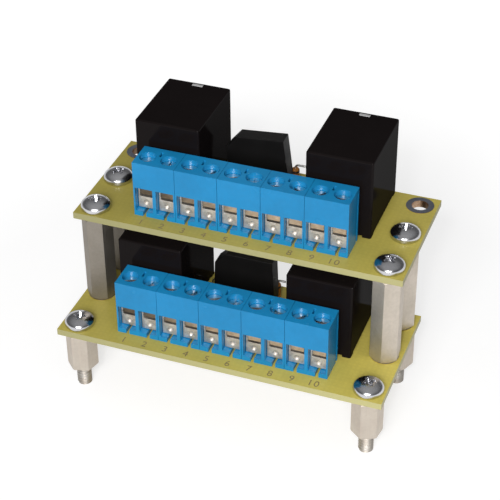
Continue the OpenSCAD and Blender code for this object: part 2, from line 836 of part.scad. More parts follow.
// The leads run up into the leaning body, which is then cut away from them
module rectifier_leads(level)
    color([0.78, 0.78, 0.77])
        on_board(level)
            difference() {
                for (p = rect_pins)
                    translate([p.x, p.y, pin_end_z])
                        cylinder(d = rect_lead_d, h = rect_lift + rect_root - pin_end_z);
                rectifier_body(level);
            }

// Glass body standing on zero
module diode_body() {
    shoulder = 0.35;
    neck = 0.65;
    rotate_extrude()
        polygon([
            [0, 0], [neck, 0], [diode_d / 2, shoulder],
            [diode_d / 2, diode_l - shoulder], [neck, diode_l], [0, diode_l],
        ]);
}

module diodes()
    color([0.75, 0.4, 0.12]) {
        translate([flat_x - diode_l / 2, flat_y, flat_lift + diode_d / 2])
            rotate([0, 90, 0]) diode_body();
        translate([upright_x, upright_y, upright_lift]) diode_body();
    }

// Quarter bend from straight up at the origin to +X at its far end
module lead_bend()
    rotate([90, 0, 0])
        translate([lead_bend_r, 0, 0])
            rotate(90)
                rotate_extrude(angle = 90) translate([lead_bend_r, 0]) circle(d = diode_lead_d);

module flat_lead(side) {
    reach = diode_span / 2;
    axis_z = flat_lift + diode_d / 2;
    translate([flat_x, flat_y, 0]) mirror([side == LEFT ? 0 : 1, 0, 0]) {
        translate([-reach, 0, pin_end_z])
            cylinder(d = diode_lead_d, h = axis_z - lead_bend_r - pin_end_z);
        translate([-reach, 0, axis_z - lead_bend_r]) lead_bend();
        translate([-reach + lead_bend_r, 0, axis_z])
            rotate([0, 90, 0]) cylinder(d = diode_lead_d, h = reach - lead_bend_r - diode_l / 2);
    }
}

module diode_leads()
    color([0.78, 0.78, 0.77]) {
        flat_lead(LEFT);
        flat_lead(RIGHT);
        translate([upright_x, upright_y, 0]) {
            translate([0, 0, pin_end_z])
                cylinder(d = diode_lead_d, h = upright_lift - pin_end_z);
            translate([0, 0, upright_lift + diode_l])
                cylinder(d = diode_lead_d, h = hairpin_rise);
            translate([0, 0, hairpin_z]) lead_bend();
            translate([lead_bend_r, 0, hairpin_z + lead_bend_r])
                rotate([0, 90, 0]) cylinder(d = diode_lead_d, h = diode_hairpin - 2 * lead_bend_r);
            translate([diode_hairpin, 0, hairpin_z]) mirror([1, 0, 0]) lead_bend();
            translate([diode_hairpin, 0, pin_end_z])
                cylinder(d = diode_lead_d, h = hairpin_z - pin_end_z);
        }
    }

// ---------- nodes ----------

feet();
long_standoffs();
stud_nuts();

on_board(LOWER) circuit_board();  // lower_circuit_board
on_board(LOWER) hole_lands();  // lower_hole_lands
on_board(LOWER) copper_tracks();  // lower_copper_tracks
on_board(LOWER) solder_joints();  // lower_solder_joints
terminal_block(LOWER, 1);  // lower_terminal_block_1
terminal_block(LOWER, 2);  // lower_terminal_block_2
terminal_block(LOWER, 3);  // lower_terminal_block_3
terminal_block(LOWER, 4);  // lower_terminal_block_4
terminal_block(LOWER, 5);  // lower_terminal_block_5
on_board(LOWER) clamp_screws();  // lower_clamp_screws
on_board(LOWER) wire_cages();  // lower_wire_cages
on_board(LOWER) contacts();  // lower_contacts
relay(LOWER, LEFT);  // lower_left_relay
relay(LOWER, RIGHT);  // lower_right_relay
on_board(LOWER) relay_pin_group();  // lower_relay_pins
rectifier(LOWER);  // lower_rectifier
rectifier_leads(LOWER);  // lower_rectifier_leads
on_board(LOWER) diodes();  // lower_diodes
on_board(LOWER) diode_leads();  // lower_diode_leads
lower_board_screws();

on_board(UPPER) circuit_board();  // upper_circuit_board
on_board(UPPER) hole_lands();  // upper_hole_lands
on_board(UPPER) copper_tracks();  // upper_copper_tracks
on_board(UPPER) solder_joints();  // upper_solder_joints
terminal_block(UPPER, 1);  // upper_terminal_block_1
terminal_block(UPPER, 2);  // upper_terminal_block_2
terminal_block(UPPER, 3);  // upper_terminal_block_3
terminal_block(UPPER, 4);  // upper_terminal_block_4
terminal_block(UPPER, 5);  // upper_terminal_block_5
on_board(UPPER) clamp_screws();  // upper_clamp_screws
on_board(UPPER) wire_cages();  // upper_wire_cages
on_board(UPPER) contacts();  // upper_contacts
relay(UPPER, LEFT);  // upper_left_relay
relay(UPPER, RIGHT);  // upper_right_relay
on_board(UPPER) relay_pin_group();  // upper_relay_pins
rectifier(UPPER);  // upper_rectifier
rectifier_leads(UPPER);  // upper_rectifier_leads
on_board(UPPER) diodes();  // upper_diodes
on_board(UPPER) diode_leads();  // upper_diode_leads
upper_board_screws();
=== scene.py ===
import math

import bpy
from bpy.props import FloatProperty, FloatVectorProperty, PointerProperty
from bpy.types import Operator, Panel, PropertyGroup
from mathutils import Matrix, Vector


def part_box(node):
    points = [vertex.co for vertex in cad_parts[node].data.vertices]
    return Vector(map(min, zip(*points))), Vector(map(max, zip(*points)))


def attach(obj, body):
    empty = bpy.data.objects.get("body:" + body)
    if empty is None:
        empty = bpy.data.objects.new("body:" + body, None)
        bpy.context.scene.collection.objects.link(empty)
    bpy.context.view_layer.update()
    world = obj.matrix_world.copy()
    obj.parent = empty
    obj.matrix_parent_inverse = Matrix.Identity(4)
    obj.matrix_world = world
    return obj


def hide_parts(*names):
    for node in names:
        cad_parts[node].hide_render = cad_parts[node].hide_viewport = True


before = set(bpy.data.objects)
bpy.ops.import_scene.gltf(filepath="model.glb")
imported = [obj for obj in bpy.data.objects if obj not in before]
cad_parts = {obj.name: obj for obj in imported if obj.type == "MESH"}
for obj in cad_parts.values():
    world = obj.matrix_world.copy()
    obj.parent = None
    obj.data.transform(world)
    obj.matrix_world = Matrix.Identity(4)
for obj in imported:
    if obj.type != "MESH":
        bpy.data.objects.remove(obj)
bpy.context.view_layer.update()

bl_info = {
    "name": "Two-storey relay board",
    "version": (1, 0, 0),
    "blender": (4, 5, 0),
    "location": "View3D > Sidebar > Relay Board",
    "description": "Dresses the solids of a stacked relay board with detail and materials",
    "category": "Add Mesh",
}

MM = 0.001
LEVELS = ("lower", "upper")
POLES = 10
BLOCKS = 5
MERGE = 1e-6  # points nearer than this, in metres, are one
CUT = 1e-7  # how near to a cut a point is on it
RELIEF = 1e-4  # the height of a bump of full strength
UP = (0.0, 0.0, 1.0)
WHITE = (1.0, 1.0, 1.0, 1.0)
FLUX = (0.22, 0.12, 0.03, 1.0)


# ---------- sizes and colours ----------


def length(name, description, millimetres):
    """A length that the sidebar shows."""
    return FloatProperty(
        name=name, description=description, default=millimetres * MM, min=0.0,
        unit="LENGTH", subtype="DISTANCE", precision=5,
    )


def colour(name, description, values):
    """A plain colour that the sidebar shows."""
    return FloatVectorProperty(
        name=name, description=description, default=values, min=0.0, max=1.0,
        size=3, subtype="COLOR",
    )


def number(name, description, default, unit="NONE"):
    """A number that the sidebar shows."""
    return FloatProperty(name=name, description=description, default=default, min=0.0, unit=unit)


class RelayBoardLaminateSettings(PropertyGroup):
    """Sizes and colours of the boards, their print and their solder."""

    laminate: colour("Laminate", "Colour of the bare board", (0.50, 0.42, 0.088))
    sawn_edge: colour("Sawn edge", "Colour of the board's cut edge", (0.44, 0.41, 0.19))
    board_edge: length("Board edge", "Rounding of a board's edges", 0.08)
    ink: colour("Ink", "Colour of the printed digits", (0.16, 0.12, 0.05))
    digit_height: length("Digit height", "Height of the printed digits", 1.9)
    digit_inset: length("Digit inset", "From the board's front edge to the digits' middle", 1.6)
    ink_depth: length("Ink depth", "Thickness of the printed ink", 0.03)
    pole_pitch: length("Terminal pitch", "From one terminal to the next", 5.08)
    solder_height: length("Solder height", "Height of a solder joint", 1.0)


class RelayBoardTerminalSettings(PropertyGroup):
    """Sizes and colours of the terminals."""

    housing: colour("Housing", "Colour of the moulded housings", (0.011, 0.240, 0.515))
    housing_edge: length("Housing edge", "Width of the rounding on a housing's edges", 0.1)
    metal_edge: length("Metal edge", "Width of the rounding on cages, contacts and screws", 0.06)


class RelayBoardComponentSettings(PropertyGroup):
    """Sizes and colours of the relays, rectifiers and diodes."""

    relay_case: colour("Relay case", "Colour of a relay's case", (0.0085, 0.0065, 0.0065))
    relay_height: length("Relay height", "Height of a relay over the board", 19.8)
    relay_foot: length("Relay foot", "Height of the pads under a relay", 0.5)
    relay_foot_width: length("Relay foot width", "Width of the pads under a relay", 2.0)
    relay_edge: length("Relay edge", "Rounding of a relay's edges", 0.45)
    nib_width: length("Vent width", "Width of the vent nib on a relay", 2.6)
    nib_depth: length("Vent depth", "Depth of the vent nib on a relay", 0.8)
    nib_inset: length("Vent inset", "From a relay's back to its vent nib", 0.95)
    nib_edge: length("Vent edge", "Rounding of the vent nib's edges", 0.12)
    rectifier_case: colour("Rectifier case", "Colour of a rectifier", (0.007, 0.0065, 0.0065))
    rectifier_edge: length("Rectifier edge", "Rounding of a rectifier's edges", 0.14)
    diode_glass: colour("Diode glass", "Colour of a diode's glass", (0.78, 0.30, 0.05))
    diode_width: length("Diode width", "Diameter of a diode", 1.9)
    diode_length: length("Diode length", "Length of a diode", 4.0)


class RelayBoardHardwareSettings(PropertyGroup):
    """Sizes of the standoffs, feet and screws."""

    thread_width: length("Thread width", "Outer diameter of the threads under the feet", 3.5)
    thread_pitch: length("Thread pitch", "Rise of a thread in one turn", 0.794)
    thread_depth: length("Thread depth", "Depth of a thread", 0.45)
    foot_stud: length("Foot stud", "Length of the stud under a foot", 6.0)
    hex_edge: length("Hex edge", "Rounding of a hex bar's edges", 0.08)
    head_width: length("Head width", "Diameter of a screw's head", 7.0)
    head_height: length("Head height", "Height of a screw's head", 2.3)
    screw_width: length("Screw width", "Diameter of a screw under its head", 3.45)
    screw_length: length("Screw length", "Length of a screw under its head", 6.4)


class RelayBoardStageSettings(PropertyGroup):
    """Floor, lamps and world."""

    floor: colour("Floor", "Colour of the floor", (0.50, 0.50, 0.50))
    key_power: number("Key light", "Power of the large lamp in front", 5.0, "POWER")
    spark_power: number("Spark light", "Power of the small lamp by the camera", 0.5, "POWER")
    sky: number("Sky", "Strength of the even light from all round", 0.32)
    backdrop: number("Backdrop", "White that the floor adds to what a camera sees", 0.62)


# ---------- modelling helpers ----------


def only(*pieces):
    """Selects these pieces and nothing else, with the first one active."""
    bpy.ops.object.select_all(action="DESELECT")
    for piece in pieces:
        piece.select_set(True)
    bpy.context.view_layer.objects.active = pieces[0]


def settle(piece):
    """Puts a piece's place, turn and scale into its mesh."""
    only(piece)
    bpy.ops.object.transform_apply(location=True, rotation=True, scale=True)
    return piece


def named(name):
    """Names the new piece that is active, and returns it."""
    piece = bpy.context.object
    piece.name = name
    piece.data.name = name
    return piece


def pick(piece, kind, test):
    """Goes into edit mode with the faces, edges or vertices selected that pass a test."""
    only(piece)
    bpy.ops.object.mode_set(mode="EDIT")
    bpy.ops.mesh.select_mode(type=kind)
    bpy.ops.mesh.select_all(action="DESELECT")
    bpy.ops.object.mode_set(mode="OBJECT")
    mesh = piece.data
    if kind == "FACE":
        for face in mesh.polygons:
            face.select = test(face.center, face.normal)
    elif kind == "EDGE":
        for edge in mesh.edges:
            edge.select = test(*(mesh.vertices[v].co for v in edge.vertices))
    else:
        for vertex in mesh.vertices:
            vertex.select = test(vertex.co)
    bpy.ops.object.mode_set(mode="EDIT")


def everything(piece):
    """Goes into edit mode with the whole piece selected, by its vertices."""
    only(piece)
    bpy.ops.object.mode_set(mode="EDIT")
    bpy.ops.mesh.select_mode(type="VERT")
    bpy.ops.mesh.select_all(action="SELECT")


def done():
    """Leaves edit mode."""
    bpy.ops.object.mode_set(mode="OBJECT")


def modify(piece, kind, **values):
    """Adds a modifier with these values and applies it."""
    only(piece)
    modifier = piece.modifiers.new(kind.title(), kind)
    for key, value in values.items():
        setattr(modifier, key, value)
    bpy.ops.object.modifier_apply(modifier=modifier.name)
    return piece


def round_edges(piece, width, segments=2):
    """Rounds every sharp edge a little and shades the rounds smooth."""
    modify(
        piece, "BEVEL", width=width, segments=segments, limit_method="ANGLE",
        angle_limit=math.radians(30), miter_outer="MITER_SHARP", use_clamp_overlap=True,
    )
    return keep_flats(smooth_rounds(piece))


def smooth_rounds(piece, angle=35):
    """Shades a piece smooth, apart from its edges sharper than this angle."""
    only(piece)
    bpy.ops.object.shade_smooth_by_angle(angle=math.radians(angle))
    return piece


def keep_flats(piece):
    """Lets a rounded edge lean to the flat faces beside it, so that these shade flat."""
    return modify(piece, "WEIGHTED_NORMAL", mode="FACE_AREA", weight=100, keep_sharp=True)


def cut(point, normal, **values):
    """Cuts the selected faces at a plane, in edit mode."""
    bpy.ops.mesh.bisect(plane_co=point, plane_no=normal, threshold=CUT, **values)


def trim(piece, height, side):
    """Cuts a piece level, clears what is below (inner) or above (outer), and closes it."""
    everything(piece)
    cut((0, 0, height), UP, use_fill=True, **{f"clear_{side}": True})
    done()


def outwards(piece):
    """Merges what touches and turns every face outwards."""
    everything(piece)
    bpy.ops.mesh.remove_doubles(threshold=MERGE)
    bpy.ops.mesh.normals_make_consistent(inside=False)
    done()
    return piece


def copy_of(node, name):
    """A merged copy of one solid, as a piece of its own."""
    piece = bpy.data.objects.new(name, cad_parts[node].data.copy())
    piece.data.name = name
    piece.data.materials.clear()
    bpy.context.scene.collection.objects.link(piece)
    only(piece)
    bpy.ops.mesh.customdata_custom_splitnormals_clear()
    everything(piece)
    bpy.ops.mesh.remove_doubles(threshold=MERGE)
    bpy.ops.mesh.dissolve_limited(angle_limit=math.radians(0.5))
    done()
    return piece


def turned(name, rings, sides):
    """A closed round solid made by extruding a disc from ring to ring of (radius, height)."""
    radius, height = rings[0]
    bpy.ops.mesh.primitive_circle_add(
        vertices=sides, radius=radius, fill_type="NGON", location=(0, 0, height)
    )
    piece = settle(named(name))
    everything(piece)
    for wide, high in rings[1:]:
        bpy.ops.mesh.extrude_region_move(TRANSFORM_OT_translate={"value": (0, 0, high - height)})
        bpy.ops.transform.resize(
            value=(wide / radius, wide / radius, 1), center_override=(0, 0, high)
        )
        radius, height = wide, high
    done()
    return outwards(piece)


def block(name, low, high):
    """A box between two corners."""
    bpy.ops.mesh.primitive_cube_add(size=1, location=(Vector(low) + Vector(high)) / 2)
    piece = named(name)
    piece.scale = Vector(high) - Vector(low)
    return settle(piece)


def copies(piece, places, name):
    """Copies a piece to each matrix, each copy with its own mesh, and joins them."""
    made = []
    for place in places:
        twin = bpy.data.objects.new(name, piece.data.copy())
        twin.matrix_world = place
        bpy.context.scene.collection.objects.link(twin)
        made.append(twin)
    bpy.data.objects.remove(piece)
    bpy.context.view_layer.update()
    return join(made, name)


def join(made, name):
    """Joins pieces into one."""
    only(*made)
    if len(made) > 1:
        bpy.ops.object.join()
    piece = named(name)
    return settle(piece)


def hand_in(piece, material, *nodes, slot=None):
    """Gives a finished piece its material, its body and the solids that it stands for."""
    piece.data.materials.clear()
    piece.data.materials.append(material)
    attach(piece, "root")
    if nodes:
        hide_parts(*nodes)


def finish_node(node, material):
    """Gives a solid that is shown as it is its material."""
    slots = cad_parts[node].data.materials
    slots.clear()
    slots.append(material)


def islands(node):
    """The box of each separate solid of a node, from front to back and left to right."""
    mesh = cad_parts[node].data
    parent = list(range(len(mesh.vertices)))
    seen = {}

    def root(v):
        while parent[v] != v:
            parent[v] = parent[parent[v]]
            v = parent[v]
        return v

    for vertex in mesh.vertices:
        key = tuple(round(c / MERGE) for c in vertex.co)
        parent[root(vertex.index)] = root(seen.setdefault(key, vertex.index))
    for edge in mesh.edges:
        parent[root(edge.vertices[0])] = root(edge.vertices[1])
    groups = {}
    for vertex in mesh.vertices:
        groups.setdefault(root(vertex.index), []).append(vertex.co)
    boxes = []
    for points in groups.values():
        low = Vector(min(p[axis] for p in points) for axis in range(3))
        high = Vector(max(p[axis] for p in points) for axis in range(3))
        boxes.append((low, high))
    return sorted(boxes, key=lambda b: (round(b[0].y, 4), b[0].x))


# ---------- shader nodes and groups ----------


def connect(tree, inputs, values):
    """Sets inputs by label or index, each to a value or to another node's output."""
    for key, value in values.items():
        socket = inputs[int(key)] if key.isdigit() else inputs[key.replace("_", " ")]
        if isinstance(value, bpy.types.NodeSocket):
            tree.links.new(value, socket)
        else:
            socket.default_value = value


def add(tree, kind, **values):
    """A new node. Values are set on its properties or, after in_, on its inputs."""
    node = tree.nodes.new(kind)
    inputs = {}
    for key, value in values.items():
        if key.startswith("in_"):
            inputs[key[3:]] = value
        else:
            setattr(node, key, value)
    connect(tree, node.inputs, inputs)
    return node


def math_node(tree, operation, first, second=0.0):
    """The result of one sum on numbers."""
    return add(tree, "ShaderNodeMath", operation=operation, in_0=first, in_1=second).outputs[0]


def vector_node(tree, operation, result="Vector", **values):
    """A result of one sum on vectors."""
    return add(tree, "ShaderNodeVectorMath", operation=operation, **values).outputs[result]


def ramp(tree, value, start, end, low=0.0, high=1.0):
    """A number that runs from low to high as the value runs from start to end."""
    node = add(
        tree, "ShaderNodeMapRange", in_Value=value, in_1=start, in_2=end, in_3=low, in_4=high
    )
    return node.outputs[0]


def between(tree, factor, first, second):
    """A number between two others."""
    node = add(tree, "ShaderNodeMix", data_type="FLOAT", in_0=factor, in_2=first, in_3=second)
    return node.outputs[0]


def blend(tree, factor, first, second, **values):
    """A colour between two others."""
    node = add(
        tree, "ShaderNodeMix", data_type="RGBA", in_0=factor, in_6=first, in_7=second, **values
    )
    return node.outputs[2]


def noise(tree, place, scale, detail, **values):
    """A soft noise."""
    node = add(
        tree, "ShaderNodeTexNoise", in_Vector=place, in_Scale=scale, in_Detail=detail, **values
    )
    return node.outputs[0]


def bands(tree, direction, place, scale, **values):
    """Soft bands that follow each other along one axis."""
    node = add(
        tree, "ShaderNodeTexWave", wave_type="BANDS", bands_direction=direction,
        in_Vector=place, in_Scale=scale, **values,
    )
    return node.outputs["Fac"]


def relief(tree, depth, height):
    """The normal of a surface that a height pattern roughens."""
    node = add(
        tree, "ShaderNodeBump", in_Strength=depth, in_Distance=RELIEF, in_Height=height
    )
    return node.outputs[0]


def group(name, inputs, outputs, fill):
    """A shader node group with named sockets, built once. All of them start from a place."""
    if name in bpy.data.node_groups:
        return bpy.data.node_groups[name]
    tree = bpy.data.node_groups.new(name, "ShaderNodeTree")

    def new_socket(label, side, kind):
        return tree.interface.new_socket(label, in_out=side, socket_type="NodeSocket" + kind)

    new_socket("Place", "INPUT", "Vector")
    for label, kind, value in inputs:
        new_socket(label, "INPUT", kind).default_value = value
    for label, kind in outputs:
        new_socket(label, "OUTPUT", kind)
    given = tree.nodes.new("NodeGroupInput").outputs
    result = tree.nodes.new("NodeGroupOutput").inputs
    connect(tree, result, fill(tree, given))
    return tree


def use_group(tree, built, **values):
    """Places a group in a material with its own values."""
    node = add(tree, "ShaderNodeGroup", node_tree=built)
    connect(tree, node.inputs, values)
    return node.outputs


def mottle_group():
    """Two colours in soft patches, with finer flecks over them."""

    def fill(tree, given):
        place, scale = given["Place"], given["Scale"]
        broad = noise(tree, place, scale, 3.0, in_Roughness=0.55)
        flecks = noise(tree, place, math_node(tree, "MULTIPLY", scale, 9.0), 2.0)
        spread = ramp(tree, between(tree, 0.3, broad, flecks), 0.35, 0.65)
        return {"Colour": blend(tree, spread, given["First"], given["Second"]), "Mask": spread}

    return group(
        "Mottle",
        [("Scale", "Float", 200.0), ("First", "Color", WHITE), ("Second", "Color", WHITE)],
        [("Colour", "Color"), ("Mask", "Float")],
        fill,
    )


def grain_group():
    """A fine grain in the surface and a slow change in its roughness."""

    def fill(tree, given):
        place, scale = given["Place"], given["Scale"]
        grain = noise(tree, place, scale, 3.0)
        slow = noise(tree, place, math_node(tree, "MULTIPLY", scale, 0.08), 2.0)
        rough = ramp(tree, slow, 0.3, 0.7, given["Smoothest"], given["Roughest"])
        return {"Normal": relief(tree, given["Depth"], grain), "Roughness": rough}

    return group(
        "Grain",
        [("Scale", "Float", 2500.0), ("Depth", "Float", 0.2),
         ("Smoothest", "Float", 0.3), ("Roughest", "Float", 0.45)],
        [("Normal", "Vector"), ("Roughness", "Float")],
        fill,
    )


def drawn_group():
    """Fine lines along one axis, as on bar stock that was drawn through a die."""

    def fill(tree, given):
        stretched = add(
            tree, "ShaderNodeMapping", in_Vector=given["Place"], in_Scale=given["Stretch"]
        )
        lines = noise(tree, stretched.outputs[0], 1.0, 4.0, in_Roughness=0.65)
        return {"Mask": lines, "Normal": relief(tree, given["Depth"], lines)}

    return group(
        "Drawn lines",
        [("Stretch", "Vector", (6000.0, 6000.0, 120.0)), ("Depth", "Float", 0.2)],
        [("Mask", "Float"), ("Normal", "Vector")],
        fill,
    )


def weave_group():
    """The crossed yarns of glass cloth under the resin."""

    def fill(tree, given):
        wobble = add(
            tree, "ShaderNodeTexNoise", in_Vector=given["Place"], in_Scale=300.0, in_Detail=1.0
        )
        shifted = vector_node(
            tree, "MULTIPLY_ADD", in_0=wobble.outputs["Color"], in_1=(0.0002, 0.0002, 0.0),
            in_2=given["Place"],
        )
        yarns = [bands(tree, axis, shifted, given["Scale"]) for axis in ("X", "Y")]
        crossed = math_node(tree, "MULTIPLY", *yarns)
        return {"Mask": crossed, "Normal": relief(tree, given["Depth"], crossed)}

    return group(
        "Glass cloth",
        [("Scale", "Float", 280.0), ("Depth", "Float", 0.1)],
        [("Mask", "Float"), ("Normal", "Vector")],
        fill,
    )


def tone_group():
    """A colour whose tone runs evenly from one place to another along a direction."""

    def fill(tree, given):
        along = vector_node(
            tree, "DOT_PRODUCT", "Value", in_0=given["Place"], in_1=given["Along"]
        )
        tone = ramp(tree, along, given["From"], given["To"], given["First"], given["Last"])
        return {"Colour": vector_node(tree, "SCALE", in_0=given["Colour"], in_Scale=tone)}

    return group(
        "Tone",
        [("Along", "Vector", (1.0, 0.0, 0.0)), ("Colour", "Color", WHITE),
         ("From", "Float", -0.02), ("To", "Float", 0.02),
         ("First", "Float", 1.0), ("Last", "Float", 1.0)],
        [("Colour", "Color")],
        fill,
    )


# ---------- materials ----------


def new_material(name, **sockets):
    """A material with one Principled shader, and the place of each point on the object."""
    material = bpy.data.materials.new(name)
    material.use_nodes = True
    tree = material.node_tree
    tree.nodes.clear()
    shader = tree.nodes.new("ShaderNodeBsdfPrincipled")
    output = tree.nodes.new("ShaderNodeOutputMaterial")
    tree.links.new(shader.outputs[0], output.inputs[0])
    connect(tree, shader.inputs, sockets)
    place = tree.nodes.new("ShaderNodeTexCoord").outputs["Object"]
    return material, tree, shader.inputs, place


def shade(rgb, factor=1.0):
    """A plain colour for a socket, or a lighter or darker tone of it."""
    return tuple(min(1.0, c * factor) for c in rgb) + (1.0,)


def patches(tree, place, scale, first, second):
    """Two colours in soft patches."""
    return use_group(
        tree, mottle_group(), Place=place, Scale=scale, First=first, Second=second
    )["Colour"]


def grained(tree, place, scale, depth, smoothest, roughest):
    """The normal and the roughness of a grained surface."""
    return use_group(
        tree, grain_group(), Place=place, Scale=scale, Depth=depth,
        Smoothest=smoothest, Roughest=roughest,
    )


def toned(tree, place, colour, **values):
    """A colour that changes its tone along a direction."""
    return use_group(tree, tone_group(), Place=place, Colour=colour, **values)["Colour"]


def finish_shader(tree, inputs, colour, surface):
    """Feeds a colour and a surface to a material's shader."""
    values = {"Base Color": colour, "Roughness": surface["Roughness"]}
    connect(tree, inputs, {**values, "Normal": surface["Normal"]})


def by_facing(tree, level, upright, least):
    """One colour for level faces and one for upright faces, and how far each face looks up."""
    normal = add(tree, "ShaderNodeNewGeometry").outputs["Normal"]
    upward = add(tree, "ShaderNodeSeparateXYZ", in_0=normal).outputs[2]
    flat = math_node(tree, "GREATER_THAN", math_node(tree, "ABSOLUTE", upward), least)
    return blend(tree, flat, upright, level), upward


def laminate_material(settings):
    """Bare glass-fibre laminate: clouded resin over glass cloth, with a paler sawn edge, and
    painted light that makes it lighter at the right and on the lower board.
    """
    material, tree, inputs, place = new_material(
        "Board laminate", Roughness=0.38, Specular_IOR_Level=0.3
    )
    plain, edge = settings.laminate, settings.sawn_edge
    resin = patches(tree, place, 110.0, shade(plain, 0.93), shade(plain, 1.06))
    cloth = use_group(tree, weave_group(), Place=place, Scale=280.0, Depth=0.03)
    woven = blend(tree, 0.05, resin, cloth["Mask"], blend_type="MULTIPLY")
    layers = bands(tree, "Z", place, 1600.0, in_Distortion=2.0)
    sawn = blend(tree, layers, shade(edge, 0.85), shade(edge, 1.08))
    both, upward = by_facing(tree, woven, sawn, 0.7)
    below = math_node(tree, "LESS_THAN", upward, -0.7)
    stain = ramp(tree, noise(tree, place, 160.0, 4.0), 0.5, 0.75, 0.0, 0.5)
    fluxed = blend(tree, math_node(tree, "MULTIPLY", below, stain), both, FLUX)
    # Painted light: the laminate is painted darker at the left and lighter at the right, from 0.82
    # to 1.1 times its colour, as if lit from the right.
    painted_light_across = toned(tree, place, fluxed, From=-35 * MM, To=35 * MM, First=0.82, Last=1.1)
    # Painted light: below 20 mm height the laminate is painted 1.18 times lighter, fading out by
    # 30 mm, so the lower board looks more lit than the upper one.
    upper = toned(tree, place, painted_light_across, Along=UP, From=20 * MM, To=30 * MM, First=1.18)
    connect(tree, inputs, {"Base Color": upper, "Normal": cloth["Normal"]})
    return material


def moulded_material(name, rgb, smoothest, roughest, depth, **sockets):
    """Moulded plastic with a slight flow in its colour and a fine grain."""
    material, tree, inputs, place = new_material(name, **sockets)
    flow = patches(tree, place, 90.0, shade(rgb, 0.92), shade(rgb, 1.08))
    surface = grained(tree, place, 2600.0, depth, smoothest, roughest)
    finish_shader(tree, inputs, flow, surface)
    return material


def metal_material(name, rgb, dull, smoothest, roughest, depth=0.1, scale=150.0, left=1.0):
    """Plated metal with duller patches, and painted shade that darkens it at the left."""
    material, tree, inputs, place = new_material(name, Metallic=1.0)
    worn = patches(tree, place, scale, shade(rgb), shade(dull))
    surface = grained(tree, place, 1800.0, depth, smoothest, roughest)
    # Painted shade: at the far left the colour is scaled by left, fading out by the middle.
    finish_shader(tree, inputs, toned(tree, place, worn, To=0.0, First=left), surface)
    return material


def land_material():
    """Tinned copper on the face of a board, browner inside its holes."""
    material, tree, inputs, place = new_material("Tinned copper", Metallic=1.0)
    face = patches(tree, place, 150.0, (0.42, 0.45, 0.52, 1.0), (0.30, 0.32, 0.38, 1.0))
    barrel = patches(tree, place, 400.0, (0.62, 0.45, 0.31, 1.0), (0.30, 0.18, 0.11, 1.0))
    both, _ = by_facing(tree, face, barrel, 0.5)
    finish_shader(tree, inputs, both, grained(tree, place, 1800.0, 0.1, 0.28, 0.45))
    return material


def bar_material(name, rgb, dull, roughness, left=1.0):
    """Drawn bar stock: fine lines along its length, duller streaks, and painted shade that darkens
    the bars at the left.
    """
    material, tree, inputs, place = new_material(name, Metallic=1.0)
    lines = use_group(tree, drawn_group(), Place=place, Depth=0.25)
    worn = patches(tree, place, 170.0, shade(rgb), shade(dull))
    streaks = blend(tree, 0.25, worn, lines["Mask"], blend_type="MULTIPLY")
    rough = ramp(tree, lines["Mask"], 0.3, 0.7, roughness - 0.05, roughness + 0.08)
    surface = {"Roughness": rough, "Normal": lines["Normal"]}
    # Painted shade: at the left the colour is scaled by left, fading to full by 20 mm right of the
    # middle.
    finish_shader(tree, inputs, toned(tree, place, streaks, First=left), surface)
    return material


def glass_material(rgb):
    """Tinted diode glass."""
    material, tree, inputs, place = new_material(
        "Diode glass", Transmission_Weight=0.55, IOR=1.5, Metallic=0.0
    )
    tint = patches(tree, place, 700.0, shade(rgb, 0.8), shade(rgb, 1.1))
    surface = grained(tree, place, 1500.0, 0.05, 0.05, 0.12)
    connect(tree, inputs, {"Base Color": tint, "Roughness": surface["Roughness"]})
    return material


# ---------- boards ----------


class RELAYBOARD_OT_boards(Operator):
    """Rounds the boards' sawn edges, and finishes their lands, tracks and leads."""

    bl_idname = "relayboard.boards"
    bl_label = "Boards"

    def execute(self, context):
        settings = context.scene.relayboard_laminate
        laminate = laminate_material(settings)
        tinned = land_material()
        copper = metal_material(
            "Track copper", (0.72, 0.42, 0.20), (0.52, 0.28, 0.12), 0.25, 0.5
        )
        pin = metal_material("Pin metal", (0.76, 0.75, 0.72), (0.62, 0.61, 0.58), 0.22, 0.36)
        lead = metal_material("Lead metal", (0.74, 0.73, 0.70), (0.60, 0.59, 0.56), 0.25, 0.4)
        finishes = {
            "hole_lands": tinned, "copper_tracks": copper, "relay_pins": pin,
            "rectifier_leads": lead, "diode_leads": lead,
        }
        for level in LEVELS:
            board = copy_of(f"{level}_circuit_board", f"{level}_board")
            round_edges(board, settings.board_edge)
            hand_in(board, laminate, f"{level}_circuit_board", slot="board_laminate")
            for part, material in finishes.items():
                finish_node(f"{level}_{part}", material)
        return {"FINISHED"}


class RELAYBOARD_OT_solder(Operator):
    """Models one hollow-sided solder joint and puts a copy round every pin."""

    bl_idname = "relayboard.solder"
    bl_label = "Solder joints"

    def execute(self, context):
        high = context.scene.relayboard_laminate.solder_height
        solder = metal_material(
            "Solder", (0.70, 0.70, 0.72), (0.55, 0.55, 0.57), 0.14, 0.34, scale=260.0
        )
        profile = ((1.18, 0.0), (1.12, 0.05), (0.93, 0.18), (0.78, 0.38), (0.68, 0.62),
                   (0.62, 0.85), (0.56, 1.0), (0.3, 1.04))
        rings = [(wide * MM, -part * high) for wide, part in profile]
        for level in LEVELS:
            node = f"{level}_solder_joints"
            joint = turned(f"{level}_solder", rings, sides=14)
            places = [
                Matrix.Translation(((low.x + top.x) / 2, (low.y + top.y) / 2, top.z))
                for low, top in islands(node)
            ]
            joints = copies(joint, places, f"{level}_solder")
            smooth_rounds(joints, 60)
            hand_in(joints, solder, node, slot="solder")
        return {"FINISHED"}


